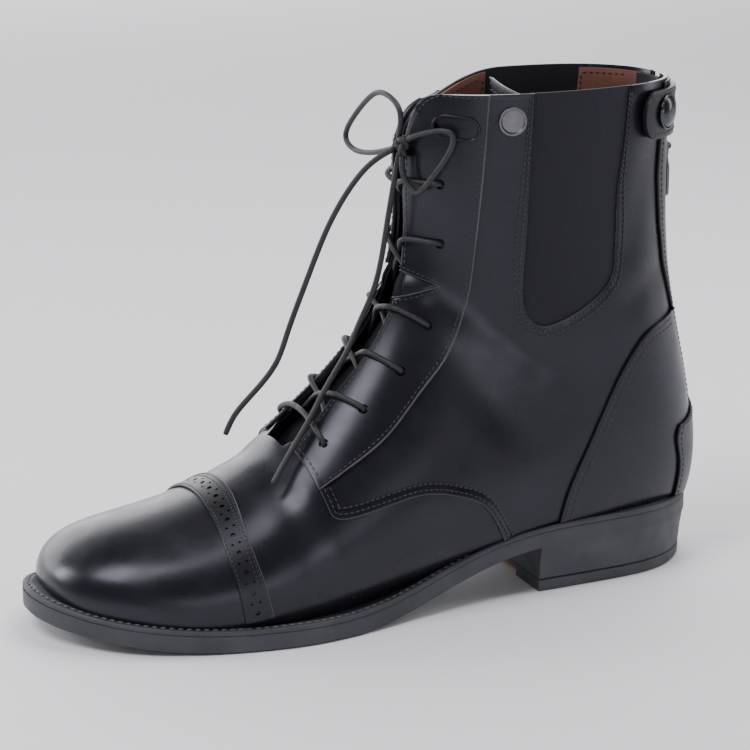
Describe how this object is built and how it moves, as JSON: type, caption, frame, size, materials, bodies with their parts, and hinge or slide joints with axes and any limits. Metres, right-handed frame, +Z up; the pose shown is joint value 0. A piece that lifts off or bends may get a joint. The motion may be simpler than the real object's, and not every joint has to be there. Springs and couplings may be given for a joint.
{
  "type": "ankle boot",
  "caption": "Left lace-up ankle boot in black leather with a toe band, elastic side gussets, a back zip under a snapped collar strap and a stitched rubber sole with a low heel.",
  "frame": {"origin": "centre of the boot's bounding box in plan, on the plane it stands on, loose lace left out", "axes": "+X towards the heel, -Y towards the outer side of the foot, +Z up"},
  "size_m": [0.2898, 0.1006, 0.205],
  "materials": {
    "smooth_leather": "satin black",
    "trim_leather": "satin black",
    "ribbed_elastic": "matt ribbed",
    "sole_rubber": "matt",
    "insert_rubber": "matt",
    "brown_lining": "matt",
    "zip_tape_black": "woven",
    "badge_metal": "satin",
    "snap_metal": "dark gloss",
    "waxed_cord": "waxed"
  },
  "bodies": {
    "boot": {"upper": "smooth_leather", "facing_lateral": "smooth_leather", "facing_medial": "smooth_leather", "counter": "smooth_leather", "quarter_edge_lateral": "smooth_leather", "quarter_edge_medial": "smooth_leather", "tongue": "trim_leather", "back_strip_lateral": "trim_leather", "back_strip_medial": "trim_leather", "toe_band": "trim_leather", "heel_tab": "trim_leather", "collar_strap": "trim_leather", "gusset_lateral": "ribbed_elastic", "gusset_medial": "ribbed_elastic", "outsole": "sole_rubber", "welt": "sole_rubber", "heel_block": "sole_rubber", "heel_top_lift": "sole_rubber", "heel_insert": "insert_rubber", "insole": "brown_lining", "zip_tape": "zip_tape_black", "zip_slider": "badge_metal", "badge": "badge_metal", "strap_snap": "snap_metal", "lace_bar": "waxed_cord", "lace_cross_1": "waxed_cord", "lace_cross_2": "waxed_cord", "lace_cross_3": "waxed_cord", "lace_cross_4": "waxed_cord", "lace_cross_5": "waxed_cord", "lace_knot": "waxed_cord", "lace_loop_lateral": "waxed_cord", "lace_loop_medial": "waxed_cord", "lace_end_front": "waxed_cord", "lace_end_down": "waxed_cord"},
    "pull": {"zip_pull": "badge_metal"}
  },
  "joints": [
    {"name": "zip_pull_hinge", "type": "hinge", "parent": "boot", "child": "pull", "pos_m": [0.13077, 0.00159, 0.1745], "axis": [0, -1, 0], "range_deg": [0, 140]}
  ]
}
